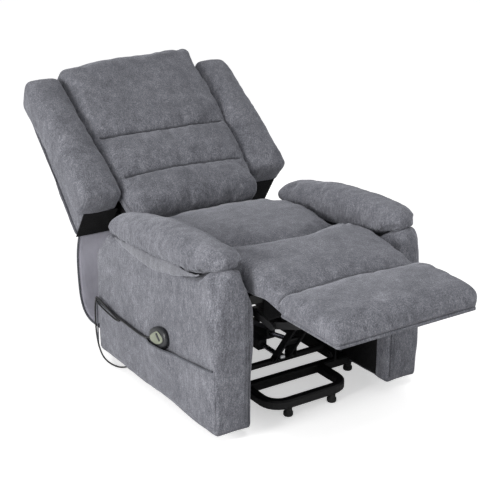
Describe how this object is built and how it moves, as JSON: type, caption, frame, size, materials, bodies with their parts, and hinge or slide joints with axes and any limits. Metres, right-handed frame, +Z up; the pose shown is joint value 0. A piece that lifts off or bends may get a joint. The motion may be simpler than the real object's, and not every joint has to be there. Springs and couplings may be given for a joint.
{
  "type": "lift recliner chair",
  "caption": "Padded power lift recliner armchair with winged reclining back, pillow arms, folding leg rest, steel lifting base, linear actuators and wired handset.",
  "frame": {"origin": "on the floor under the middle of the chair as posed, with the leg rest out, the back reclined and the lift down", "axes": "+Z up, -Y the way the sitter faces, +X the sitter's left"},
  "size_m": [0.816, 1.6516, 0.8946],
  "materials": {
    "black_steel": "satin black powder coat",
    "spring_steel": "oiled dark wire",
    "foot_rubber": "matt black",
    "chenille": "short-pile mottled grey chenille",
    "dust_cloth": "matt black non-woven",
    "flap_lining": "plain woven, pale grey-lilac inner side",
    "motor_plastic": "fine spark texture",
    "rod_steel": "ground bright",
    "handset_plastic": "fine texture",
    "handset_face": "satin",
    "button_plastic": "satin",
    "cable_jacket": "satin black",
    "board_wood": "raw plywood"
  },
  "bodies": {
    "base": {"base_frame": "black_steel", "foot_front_left": "foot_rubber", "foot_front_right": "foot_rubber", "foot_middle_left": "foot_rubber", "foot_middle_right": "foot_rubber", "foot_rear_left": "foot_rubber", "foot_rear_right": "foot_rubber"},
    "lift_arms": {"lift_arm_frame": "black_steel"},
    "lift_links": {"lift_link_left": "black_steel", "lift_link_right": "black_steel"},
    "lift_actuator": {"lift_actuator_housing": "motor_plastic", "lift_actuator_motor": "motor_plastic"},
    "lift_rod": {"lift_actuator_rod": "rod_steel"},
    "chassis": {"chassis_frame": "black_steel", "seat_frame": "black_steel", "seat_front_apron": "dust_cloth", "seat_spring_1": "spring_steel", "seat_spring_2": "spring_steel", "seat_spring_3": "spring_steel", "seat_spring_4": "spring_steel", "seat_deck": "dust_cloth", "seat_cushion_rear": "chenille", "seat_cushion_front": "chenille", "seat_bridge_pad": "chenille", "arm_box_left": "chenille", "arm_box_right": "chenille", "arm_pad_left": "chenille", "arm_pad_right": "chenille", "arm_inner_panel_left": "dust_cloth", "arm_inner_panel_right": "dust_cloth", "arm_bracket_left": "black_steel", "arm_bracket_right": "black_steel", "side_pocket": "chenille", "handset_shell": "handset_plastic", "handset_face": "handset_face", "handset_cable": "cable_jacket", "control_box": "motor_plastic", "power_supply": "motor_plastic", "rear_flap": "flap_lining", "rear_flap_rail": "black_steel"},
    "button_up": {"handset_button_up": "button_plastic"},
    "button_down": {"handset_button_down": "button_plastic"},
    "backrest": {"back_frame": "black_steel", "back_cushion": "chenille", "back_wing_left": "chenille", "back_wing_right": "chenille", "outside_back": "chenille", "back_inner_lining": "dust_cloth"},
    "leg_rest": {"leg_rest_board": "board_wood", "leg_rest_pad": "chenille", "leg_bracket_left": "black_steel", "leg_bracket_right": "black_steel"},
    "leg_links_rear": {"leg_link_rear_left": "black_steel", "leg_link_rear_right": "black_steel"},
    "leg_links_front": {"leg_link_front_left": "black_steel", "leg_link_front_right": "black_steel"},
    "drive_yoke": {"leg_drive_yoke": "black_steel"},
    "leg_actuator": {"leg_actuator_housing": "motor_plastic", "leg_actuator_motor": "motor_plastic"},
    "leg_rod": {"leg_actuator_rod": "rod_steel"}
  },
  "joints": [
    {"name": "lift", "type": "hinge", "parent": "base", "child": "lift_arms", "pos_m": [0, -0.2398, 0.074], "axis": [1, 0, 0], "range_deg": [0, 55]},
    {"name": "lift_chassis", "type": "hinge", "parent": "lift_arms", "child": "chassis", "pos_m": [0, 0.0772, 0.119], "axis": [1, 0, 0], "range_deg": [-31.62, 0]},
    {"name": "lift_link", "type": "hinge", "parent": "base", "child": "lift_links", "pos_m": [0, -0.2048, 0.136], "axis": [1, 0, 0], "range_deg": [0, 48.44]},
    {"name": "lift_actuator_swing", "type": "hinge", "parent": "base", "child": "lift_actuator", "pos_m": [0, 0.2352, 0.07], "axis": [1, 0, 0], "range_deg": [0, 1.25]},
    {"name": "lift_rod_slide", "type": "slide", "parent": "lift_actuator", "child": "lift_rod", "axis": [0, -0.9864, 0.1644], "range_m": [0, 0.07301]},
    {"name": "recline", "type": "hinge", "parent": "chassis", "child": "backrest", "pos_m": [0, 0.2802, 0.4], "axis": [1, 0, 0], "range_deg": [0, 38]},
    {"name": "leg_rest", "type": "hinge", "parent": "chassis", "child": "leg_rest", "pos_m": [0, -0.4883, 0.5035], "axis": [1, 0, 0], "range_deg": [0, 90]},
    {"name": "leg_link_rear", "type": "hinge", "parent": "chassis", "child": "leg_links_rear", "pos_m": [0, -0.3788, 0.386], "axis": [1, 0, 0], "range_deg": [0, 102.33]},
    {"name": "leg_link_front", "type": "hinge", "parent": "leg_rest", "child": "leg_links_front", "pos_m": [0, -0.6128, 0.412], "axis": [1, 0, 0], "range_deg": [-135.56, 0]},
    {"name": "leg_yoke", "type": "hinge", "parent": "chassis", "child": "drive_yoke", "pos_m": [0, -0.3828, 0.325], "axis": [1, 0, 0], "range_deg": [0, 24.48]},
    {"name": "leg_actuator_swing", "type": "hinge", "parent": "chassis", "child": "leg_actuator", "pos_m": [0, 0.1552, 0.12], "axis": [1, 0, 0], "range_deg": [-14.26, 0]},
    {"name": "leg_rod_slide", "type": "slide", "parent": "leg_actuator", "child": "leg_rod", "axis": [0, -0.9998, -0.0206], "range_m": [-0.06705, 0]},
    {"name": "press_up", "type": "slide", "parent": "chassis", "child": "button_up", "axis": [1, 0, 0], "range_m": [0, 0.0012], "stiffness_N_per_m": 800},
    {"name": "press_down", "type": "slide", "parent": "chassis", "child": "button_down", "axis": [1, 0, 0], "range_m": [0, 0.0012], "stiffness_N_per_m": 800}
  ],
  "couplings": [
    {"joint": "lift_chassis", "follows": "lift", "ratio": -0.56364},
    {"joint": "lift_link", "follows": "lift", "ratio": 0.86348},
    {"joint": "lift_actuator_swing", "follows": "lift", "ratio": 0.022251},
    {"joint": "lift_rod_slide", "follows": "lift", "m_per_rad": 0.074566},
    {"joint": "leg_link_rear", "follows": "leg_rest", "ratio": 1.1147},
    {"joint": "leg_link_front", "follows": "leg_rest", "ratio": -1.4767},
    {"joint": "leg_yoke", "follows": "leg_rest", "ratio": 0.26667},
    {"joint": "leg_actuator_swing", "follows": "leg_rest", "ratio": -0.15537},
    {"joint": "leg_rod_slide", "follows": "leg_rest", "m_per_rad": -0.041849}
  ]
}
